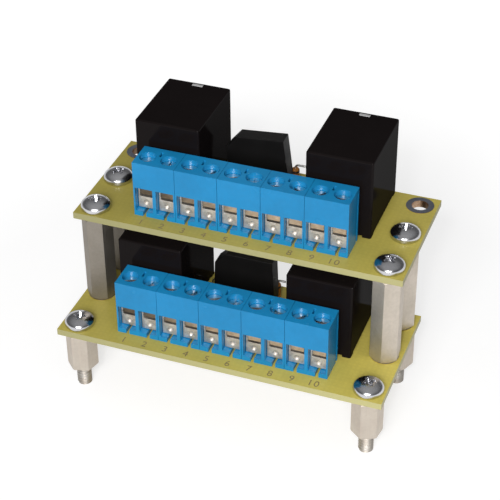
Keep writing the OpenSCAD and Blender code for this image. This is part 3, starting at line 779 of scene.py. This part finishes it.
class RELAYBOARD_OT_print(Operator):
    """Prints the digits 1 to 10 in front of the terminals."""

    bl_idname = "relayboard.print"
    bl_label = "Printed digits"

    def execute(self, context):
        settings = context.scene.relayboard_laminate
        size_to_height, spacing = 1.4, 1.15
        material, tree, inputs, place = new_material("Print ink", Roughness=0.7)
        worn = patches(tree, place, 900.0, shade(settings.ink), shade(settings.ink, 1.9))
        connect(tree, inputs, {"Base Color": worn})
        for level in LEVELS:
            low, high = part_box(f"{level}_circuit_board")
            digits = []
            for pole in range(POLES):
                x = (pole - (POLES - 1) / 2) * settings.pole_pitch
                bpy.ops.object.text_add(location=(x, low.y + settings.digit_inset, high.z))
                digit = bpy.context.object
                digit.data.body = str(pole + 1)
                digit.data.size = settings.digit_height * size_to_height
                digit.data.align_x = digit.data.align_y = "CENTER"
                digit.data.space_character = spacing
                digit.data.extrude = settings.ink_depth / 2
                digit.data.resolution_u = 4
                bpy.ops.object.convert(target="MESH")
                digits.append(bpy.context.object)
            printed = outwards(join(digits, f"{level}_print"))
            hand_in(printed, material, slot="board_laminate")
        return {"FINISHED"}


# ---------- terminals ----------


class RELAYBOARD_OT_terminals(Operator):
    """Rounds the terminal housings and what they hold, and gives them their finishes."""

    bl_idname = "relayboard.terminals"
    bl_label = "Terminals"

    def execute(self, context):
        settings = context.scene.relayboard_terminals
        plastic = moulded_material(
            "Terminal plastic", settings.housing, 0.18, 0.28, 0.06, Specular_IOR_Level=0.3
        )
        steel = metal_material(
            "Clamp steel", (0.95, 0.92, 0.90), (0.74, 0.66, 0.62), 0.22, 0.34, scale=500.0
        )
        cage = metal_material(
            "Cage steel", (0.80, 0.75, 0.68), (0.50, 0.45, 0.40), 0.46, 0.6, depth=0.3, scale=900.0
        )
        # Painted shade: left=0.3 paints the contacts at the left darker.
        brass = metal_material(
            "Contact brass", (0.66, 0.52, 0.38), (0.44, 0.33, 0.23), 0.38, 0.55, scale=700.0,
            left=0.3,
        )
        metals = (("clamp_screws", steel, "clamp_steel"), ("wire_cages", cage, "cage_steel"),
                  ("contacts", brass, "contact_brass"))
        for level in LEVELS:
            for number in range(1, BLOCKS + 1):
                node = f"{level}_terminal_block_{number}"
                housing = round_edges(
                    copy_of(node, f"{level}_housing_{number}"), settings.housing_edge
                )
                hand_in(housing, plastic, node, slot="terminal_plastic")
            for part, material, slot in metals:
                node = f"{level}_{part}"
                piece = round_edges(copy_of(node, f"{level}_{part}_finished"), settings.metal_edge)
                hand_in(piece, material, node, slot=slot)
        return {"FINISHED"}


# ---------- components ----------


def relay_case(name, low, high, settings):
    """A relay case on four corner pads, with its outer edges rounded."""
    foot, wide = settings.relay_foot, settings.relay_foot_width
    piece = block(name, low + Vector((0, 0, foot)), high)
    everything(piece)
    for axis in (0, 1):
        for place in (low[axis] + wide, high[axis] - wide):
            point, normal = Vector((0, 0, 0)), Vector((0, 0, 0))
            point[axis], normal[axis] = place, 1
            bpy.ops.mesh.select_all(action="SELECT")
            cut(point, normal)
    done()

    def is_pad(centre, normal):
        return normal.z < -0.9 and all(
            centre[axis] < low[axis] + wide or centre[axis] > high[axis] - wide
            for axis in (0, 1)
        )

    pick(piece, "FACE", is_pad)
    bpy.ops.mesh.extrude_region_move(TRANSFORM_OT_translate={"value": (0, 0, -foot)})
    bpy.ops.mesh.select_all(action="SELECT")
    bpy.ops.mesh.dissolve_limited(angle_limit=math.radians(1))
    done()
    outwards(piece)

    def on_side(point, axis):
        return min(abs(point[axis] - low[axis]), abs(point[axis] - high[axis])) < MERGE

    def outer(a, b):
        corner = all(on_side(p, axis) for p in (a, b) for axis in (0, 1))
        upright = abs(a.z - b.z) > MERGE
        top = all(abs(p.z - high.z) < MERGE for p in (a, b))
        return (corner and upright) or top

    pick(piece, "EDGE", outer)
    bpy.ops.mesh.bevel(offset=settings.relay_edge, segments=5, affect="EDGES")
    done()
    return keep_flats(smooth_rounds(piece, 40))


class RELAYBOARD_OT_relays(Operator):
    """Models the sealed relays with their pads and vent nibs."""

    bl_idname = "relayboard.relays"
    bl_label = "Relays"

    def execute(self, context):
        settings = context.scene.relayboard_components
        case = moulded_material(
            "Relay plastic", settings.relay_case, 0.3, 0.4, 0.02, Specular_IOR_Level=0.0,
            Coat_Weight=0.12, Coat_Roughness=0.12,
        )
        # Painted highlight: the vent nib is painted a pale grey that stands for the highlight on
        # it.
        painted_highlight = moulded_material("Vent scar", (0.42, 0.42, 0.42), 0.4, 0.5, 0.2, IOR=1.5)
        for level in LEVELS:
            for side in ("left", "right"):
                node = f"{level}_{side}_relay"
                low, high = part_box(node)
                top = Vector((high.x, high.y, low.z + settings.relay_height))
                body = relay_case(f"{level}_{side}_relay_case", low, top, settings)
                hand_in(body, case, node, slot="relay_plastic")
                middle, half = (low.x + high.x) / 2, settings.nib_width / 2
                back, sunk = high.y - settings.nib_inset, 0.1 * MM
                nib = block(
                    f"{level}_{side}_relay_vent",
                    (middle - half, back - settings.nib_depth, top.z - sunk),
                    (middle + half, back, high.z),
                )
                round_edges(nib, settings.nib_edge, segments=3)
                hand_in(nib, painted_highlight, slot="relay_plastic")
        return {"FINISHED"}


class RELAYBOARD_OT_rectifiers(Operator):
    """Rounds the bridge rectifiers and gives them their finish."""

    bl_idname = "relayboard.rectifiers"
    bl_label = "Rectifiers"

    def execute(self, context):
        settings = context.scene.relayboard_components
        case = moulded_material(
            "Rectifier epoxy", settings.rectifier_case, 0.38, 0.5, 0.25, Specular_IOR_Level=0.2
        )
        for level in LEVELS:
            node = f"{level}_rectifier"
            body = copy_of(node, f"{level}_rectifier_case")
            round_edges(body, settings.rectifier_edge, segments=3)
            hand_in(body, case, node, slot="rectifier_plastic")
        return {"FINISHED"}


def diode_rings(wide, high, shoulder, neck):
    """Rings of a glass body with rounded shoulders, from its foot to its top."""
    steps = 4
    quarter = [
        (neck + (wide - neck) * math.sin(math.pi / 2 * i / steps),
         shoulder * (1 - math.cos(math.pi / 2 * i / steps)))
        for i in range(steps + 1)
    ]
    return quarter + [(r, high - z) for r, z in reversed(quarter)]


def edged_rings(narrow, wide, foot, head, high):
    """Rings of a disc with a slight edge, between two fractions of a height."""
    edge = 0.01
    return ((narrow, foot * high), (wide, (foot + edge) * high),
            (wide, (head - edge) * high), (narrow, head * high))


class RELAYBOARD_OT_diodes(Operator):
    """Models the glass diodes: the glass, the metal inside it and the painted band."""

    bl_idname = "relayboard.diodes"
    bl_label = "Diodes"

    def execute(self, context):
        settings = context.scene.relayboard_components
        glass = glass_material(settings.diode_glass)
        core = metal_material("Diode studs", (0.70, 0.42, 0.24), (0.5, 0.28, 0.15), 0.3, 0.5)
        band = moulded_material("Diode band", (0.012, 0.012, 0.014), 0.4, 0.5, 0.1)
        wide, high = settings.diode_width / 2, settings.diode_length
        shoulder, neck, paint = 0.4 * MM, 0.45 * MM, 0.02 * MM
        for level in LEVELS:
            places = []
            for low, top in islands(f"{level}_diodes"):
                middle = (low + top) / 2
                lying = top.x - low.x > top.z - low.z
                turn = Matrix.Rotation(math.pi / 2 if lying else 0, 4, "Y")
                places.append(
                    Matrix.Translation(middle) @ turn @ Matrix.Translation((0, 0, -high / 2))
                )
            body = turned(f"{level}_glass", diode_rings(wide, high, shoulder, neck), sides=20)
            bodies = smooth_rounds(copies(body, places, f"{level}_glass"), 50)
            hand_in(bodies, glass, f"{level}_diodes", slot="diode_glass")
            studs = []
            for foot, head in ((0.25, 0.44), (0.56, 0.75)):
                rings = edged_rings(0.5 * MM, 0.55 * MM, foot, head, high)
                studs.append(turned(f"{level}_stud", rings, sides=16))
            inner = copies(join(studs, f"{level}_studs"), places, f"{level}_studs")
            hand_in(smooth_rounds(inner, 50), core, slot="lead_metal")
            rings = edged_rings(wide - paint, wide + paint, 0.74, 0.89, high)
            ring = turned(f"{level}_band", rings, sides=20)
            painted = copies(ring, places, f"{level}_bands")
            hand_in(smooth_rounds(painted, 50), band, slot="rectifier_plastic")
        return {"FINISHED"}


# ---------- hardware ----------


def threaded_stud(name, settings, length_down):
    """A helical thread hanging down from zero, with a chamfered tip."""
    crest, pitch = settings.thread_width / 2, settings.thread_pitch
    root = crest - settings.thread_depth
    flank, land = 0.42 * pitch, 0.16 * pitch
    turns = math.ceil(length_down / pitch) + 3
    bpy.ops.mesh.primitive_plane_add(size=MM, location=(0, 0, 0))
    piece = settle(named(name))
    everything(piece)
    bpy.ops.mesh.merge(type="CENTER")
    bpy.ops.transform.translate(value=(root, 0, -length_down - 2 * pitch))
    for out, up in ((crest - root, flank), (0, land), (root - crest, flank)):
        bpy.ops.mesh.extrude_region_move(TRANSFORM_OT_translate={"value": (out, 0, up)})
    done()
    modify(
        piece, "SCREW", axis="Z", screw_offset=pitch, iterations=turns, steps=20,
        render_steps=20, use_merge_vertices=True, merge_threshold=MERGE,
        use_smooth_shade=False,
    )
    outwards(piece)
    trim(piece, -length_down - 0.4 * pitch, "inner")
    trim(piece, 0.6 * pitch, "outer")
    outwards(piece)
    chamfer, spare = 0.5 * MM, 0.1 * MM
    gauge = turned(
        name + "_gauge",
        ((crest - chamfer, -length_down), (crest + spare, -length_down + chamfer + spare),
         (crest + spare, 2 * spare)),
        sides=48,
    )
    modify(piece, "BOOLEAN", operation="INTERSECT", object=gauge, solver="EXACT")
    bpy.data.objects.remove(gauge)
    return smooth_rounds(outwards(piece), 25)


class RELAYBOARD_OT_feet(Operator):
    """Models the feet: chamfered hex bodies with threaded studs under them."""

    bl_idname = "relayboard.feet"
    bl_label = "Feet"

    def execute(self, context):
        settings = context.scene.relayboard_hardware
        bar = bar_material("Foot metal", (0.74, 0.67, 0.58), (0.66, 0.58, 0.50), 0.5)
        screw = metal_material(
            "Stud metal", (0.86, 0.83, 0.78), (0.62, 0.56, 0.49), 0.36, 0.5, scale=300.0
        )
        middles = [(low + high) / 2 for low, high in islands("feet")]
        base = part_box("feet")[0].z + settings.foot_stud
        hexes = copy_of("feet", "foot_bodies")
        trim(hexes, base, "inner")
        outwards(hexes)
        hand_in(round_edges(hexes, settings.hex_edge), bar, "feet", slot="foot_metal")
        stud = threaded_stud("foot_stud", settings, settings.foot_stud)
        places = [Matrix.Translation((m.x, m.y, base)) for m in middles]
        hand_in(copies(stud, places, "foot_studs"), screw, slot="foot_metal")
        return {"FINISHED"}


class RELAYBOARD_OT_standoffs(Operator):
    """Rounds the long standoffs and the nuts, and gives them their finishes."""

    bl_idname = "relayboard.standoffs"
    bl_label = "Standoffs"

    def execute(self, context):
        settings = context.scene.relayboard_hardware
        # Painted shade: the last value, 0.55, paints the standoffs at the left darker.
        bar = bar_material("Standoff metal", (0.74, 0.67, 0.59), (0.62, 0.56, 0.48), 0.58, 0.55)
        nut = bar_material("Nut steel", (0.66, 0.66, 0.66), (0.52, 0.52, 0.52), 0.34)
        for node, material, slot in (("long_standoffs", bar, "standoff_metal"),
                                     ("stud_nuts", nut, "nut_steel")):
            piece = round_edges(copy_of(node, f"{node}_finished"), settings.hex_edge)
            hand_in(piece, material, node, slot=slot)
        return {"FINISHED"}


def cross_recess(name, top):
    """The tapered four-winged tool that leaves a cross recess in a screw's head."""
    reach, half, depth, taper = 2.1 * MM, 0.45 * MM, 1.5 * MM, (0.42, 0.62, 1)
    wings = []
    for turn in (0, math.pi / 2):
        wing = block(name, (-reach, -half, top - depth), (reach, half, top + MM))
        pick(wing, "FACE", lambda centre, normal: normal.z < -0.9)
        bpy.ops.transform.resize(value=taper, center_override=(0, 0, top))
        done()
        wing.rotation_euler.z = turn
        wings.append(settle(wing))
    profile = ((0.25, -1.75), (0.85, -1.2), (1.05, 1.0))
    core = turned(name, [(wide * MM, top + high * MM) for wide, high in profile], sides=16)
    return wings + [core]


class RELAYBOARD_OT_board_screws(Operator):
    """Models the pan head screws with their cross recesses."""

    bl_idname = "relayboard.board_screws"
    bl_label = "Board screws"

    def execute(self, context):
        settings = context.scene.relayboard_hardware
        chrome = metal_material(
            "Screw chrome", (0.66, 0.66, 0.68), (0.54, 0.54, 0.57), 0.16, 0.26,
            depth=0.03, scale=400.0,
        )
        wide, high = settings.head_width / 2, settings.head_height
        rim = 0.3 * high
        shank, down = settings.screw_width / 2, settings.screw_length
        steps, last = 12, math.radians(84)
        crown = [
            (wide * math.cos(last * i / steps),
             rim + (high - rim) * math.sin(last * i / steps) / math.sin(last))
            for i in range(1, steps + 1)
        ]
        tip = 0.5 * MM
        rings = [
            (shank - tip, -down), (shank, tip - down), (shank, 0),
            (wide - 0.12 * MM, 0), (wide - 0.03 * MM, 0.06 * MM), (wide, 0.2 * MM), (wide, rim),
            *crown,
        ]
        turns = {"lower": (12, 38), "upper": (24, 52, 61, 5)}
        for level in LEVELS:
            node = f"{level}_board_screws"
            made = []
            for (low, top), turn in zip(islands(node), turns[level]):
                screw = turned(f"{level}_screw", rings, sides=48)
                for tool in cross_recess("recess", high):
                    modify(screw, "BOOLEAN", operation="DIFFERENCE", object=tool, solver="EXACT")
                    bpy.data.objects.remove(tool)
                modify(
                    screw, "BEVEL", width=0.07 * MM, segments=2, limit_method="ANGLE",
                    angle_limit=math.radians(40),
                )
                screw.rotation_euler.z = math.radians(turn)
                screw.location = ((low.x + top.x) / 2, (low.y + top.y) / 2, top.z - high)
                made.append(settle(screw))
            screws = smooth_rounds(join(made, f"{level}_screws"), 32)
            hand_in(screws, chrome, node, slot="screw_chrome")
        return {"FINISHED"}


# ---------- stage ----------

LAMP_TARGET = (0, 0, 0.035)
KEY_PLACE = (0.13, -0.70, 0.45)
SPARK_PLACE = (0.10, -0.40, 0.36)
CAMERA_PLACE = (0.10101, -0.26950, 0.24105)
CAMERA_FORWARD = (-0.28418, 0.76061, -0.58371)
CAMERA_RIGHT = (0.93856, 0.34503, -0.00735)
BEHIND = (-0.03, 0.09, 0.0)  # the floor near here stays dark in mirrors


def ray_masks(tree):
    """A mask of what the camera sees, and one of what mirrors and glass see."""
    path = add(tree, "ShaderNodeLightPath").outputs
    bent = math_node(tree, "MAXIMUM", path["Is Glossy Ray"], path["Is Transmission Ray"])
    return path["Is Camera Ray"], bent


def floor_material(settings):
    """White paper that glows a little, more so far off, to the camera and in mirrors."""
    material, tree, inputs, place = new_material(
        "Floor", Roughness=0.9, Specular_IOR_Level=0.0, Emission_Strength=settings.backdrop
    )
    paper = patches(tree, place, 30.0, shade(settings.floor, 0.99), shade(settings.floor))
    away = vector_node(tree, "DISTANCE", "Value", in_0=place, in_1=BEHIND)
    far = ramp(tree, away, 0.05, 0.14)
    middle = vector_node(tree, "LENGTH", "Value", in_0=place)
    paler = ramp(tree, middle, 0.08, 0.3, 1.0, 1.7)
    camera, bent = ray_masks(tree)
    glow = math_node(
        tree, "MAXIMUM", math_node(tree, "MULTIPLY", paler, camera),
        math_node(tree, "MULTIPLY", far, bent),
    )
    connect(tree, inputs, {"Base Color": paper, "Emission Color": glow})
    return material


def studio_world(settings):
    """Even light, white to the camera. Mirrors see pale walls and a grey ceiling instead."""
    world = bpy.data.worlds.new("Studio")
    world.use_nodes = True
    tree = world.node_tree
    tree.nodes.clear()
    heading = add(tree, "ShaderNodeTexCoord").outputs["Generated"]
    height = add(tree, "ShaderNodeSeparateXYZ", in_0=heading).outputs[2]
    wall = ramp(tree, height, 0.08, 0.25, 1.0, 0.12)
    overhead = ramp(tree, height, 0.55, 0.98, 0.0, 0.27)
    room = math_node(tree, "ADD", wall, overhead)
    camera, bent = ray_masks(tree)
    strength = between(tree, camera, between(tree, bent, settings.sky, room), 1.0)
    sky = add(tree, "ShaderNodeBackground", in_Color=WHITE, in_Strength=strength)
    output = tree.nodes.new("ShaderNodeOutputWorld")
    tree.links.new(sky.outputs[0], output.inputs[0])
    return world


def lamp(name, power, wide, tall, place):
    """A soft rectangular lamp that points at the boards."""
    bpy.ops.object.light_add(type="AREA", location=place)
    light = bpy.context.object
    light.name = name
    light.data.shape = "RECTANGLE"
    light.data.size, light.data.size_y = wide, tall
    light.data.energy = power
    aim = Vector(LAMP_TARGET) - Vector(place)
    light.rotation_euler = aim.to_track_quat("-Z", "Y").to_euler()


class RELAYBOARD_OT_stage(Operator):
    """Sets the floor, the lamps, the world and the camera."""

    bl_idname = "relayboard.stage"
    bl_label = "Stage"

    def execute(self, context):
        settings = context.scene.relayboard_stage
        bpy.ops.mesh.primitive_circle_add(vertices=96, radius=3.0, fill_type="NGON")
        floor = named("floor")
        floor.data.materials.append(floor_material(settings))

        lamp("key_light", settings.key_power, 0.4, 0.3, KEY_PLACE)
        lamp("spark_light", settings.spark_power, 0.03, 0.03, SPARK_PLACE)
        context.scene.world = studio_world(settings)
        context.scene.view_settings.view_transform = "Standard"

        bpy.ops.object.camera_add()
        camera = bpy.context.object
        camera.name = "camera"
        forward, right = Vector(CAMERA_FORWARD).normalized(), Vector(CAMERA_RIGHT).normalized()
        turn = Matrix((right, right.cross(forward), -forward)).transposed().to_4x4()
        camera.matrix_world = Matrix.Translation(CAMERA_PLACE) @ turn
        camera.data.lens = 111.3
        camera.data.sensor_width = 36.0
        camera.data.clip_start, camera.data.clip_end = 0.01, 20.0
        context.scene.camera = camera
        return {"FINISHED"}


# ---------- panel and registration ----------

OPERATORS = (
    RELAYBOARD_OT_boards,
    RELAYBOARD_OT_solder,
    RELAYBOARD_OT_print,
    RELAYBOARD_OT_terminals,
    RELAYBOARD_OT_relays,
    RELAYBOARD_OT_rectifiers,
    RELAYBOARD_OT_diodes,
    RELAYBOARD_OT_feet,
    RELAYBOARD_OT_standoffs,
    RELAYBOARD_OT_board_screws,
    RELAYBOARD_OT_stage,
)
SETTINGS = {
    "relayboard_laminate": RelayBoardLaminateSettings,
    "relayboard_terminals": RelayBoardTerminalSettings,
    "relayboard_components": RelayBoardComponentSettings,
    "relayboard_hardware": RelayBoardHardwareSettings,
    "relayboard_stage": RelayBoardStageSettings,
}


class RELAYBOARD_PT_pieces(Panel):
    """Lists the sizes, the colours and the pieces."""

    bl_idname = "RELAYBOARD_PT_pieces"
    bl_label = "Relay Board"
    bl_space_type = "VIEW_3D"
    bl_region_type = "UI"
    bl_category = "Relay Board"

    def draw(self, context):
        layout = self.layout
        for label, kind in SETTINGS.items():
            box = layout.box()
            for key in kind.__annotations__:
                box.prop(getattr(context.scene, label), key)
        for operator in OPERATORS:
            layout.operator(operator.bl_idname)


def register():
    """Adds the sizes, the operators and the panel to Blender."""
    for kind in (*SETTINGS.values(), *OPERATORS, RELAYBOARD_PT_pieces):
        bpy.utils.register_class(kind)
    for label, kind in SETTINGS.items():
        setattr(bpy.types.Scene, label, PointerProperty(type=kind))


def unregister():
    """Takes them out again."""
    for label in SETTINGS:
        delattr(bpy.types.Scene, label)
    for kind in (RELAYBOARD_PT_pieces, *reversed(OPERATORS), *reversed(SETTINGS.values())):
        bpy.utils.unregister_class(kind)


def main():
    """Makes every piece and the stage."""
    register()
    for operator in OPERATORS:
        group_name, action = operator.bl_idname.split(".")
        getattr(getattr(bpy.ops, group_name), action)()
    bpy.context.view_layer.update()


if __name__ == "__main__":
    main()
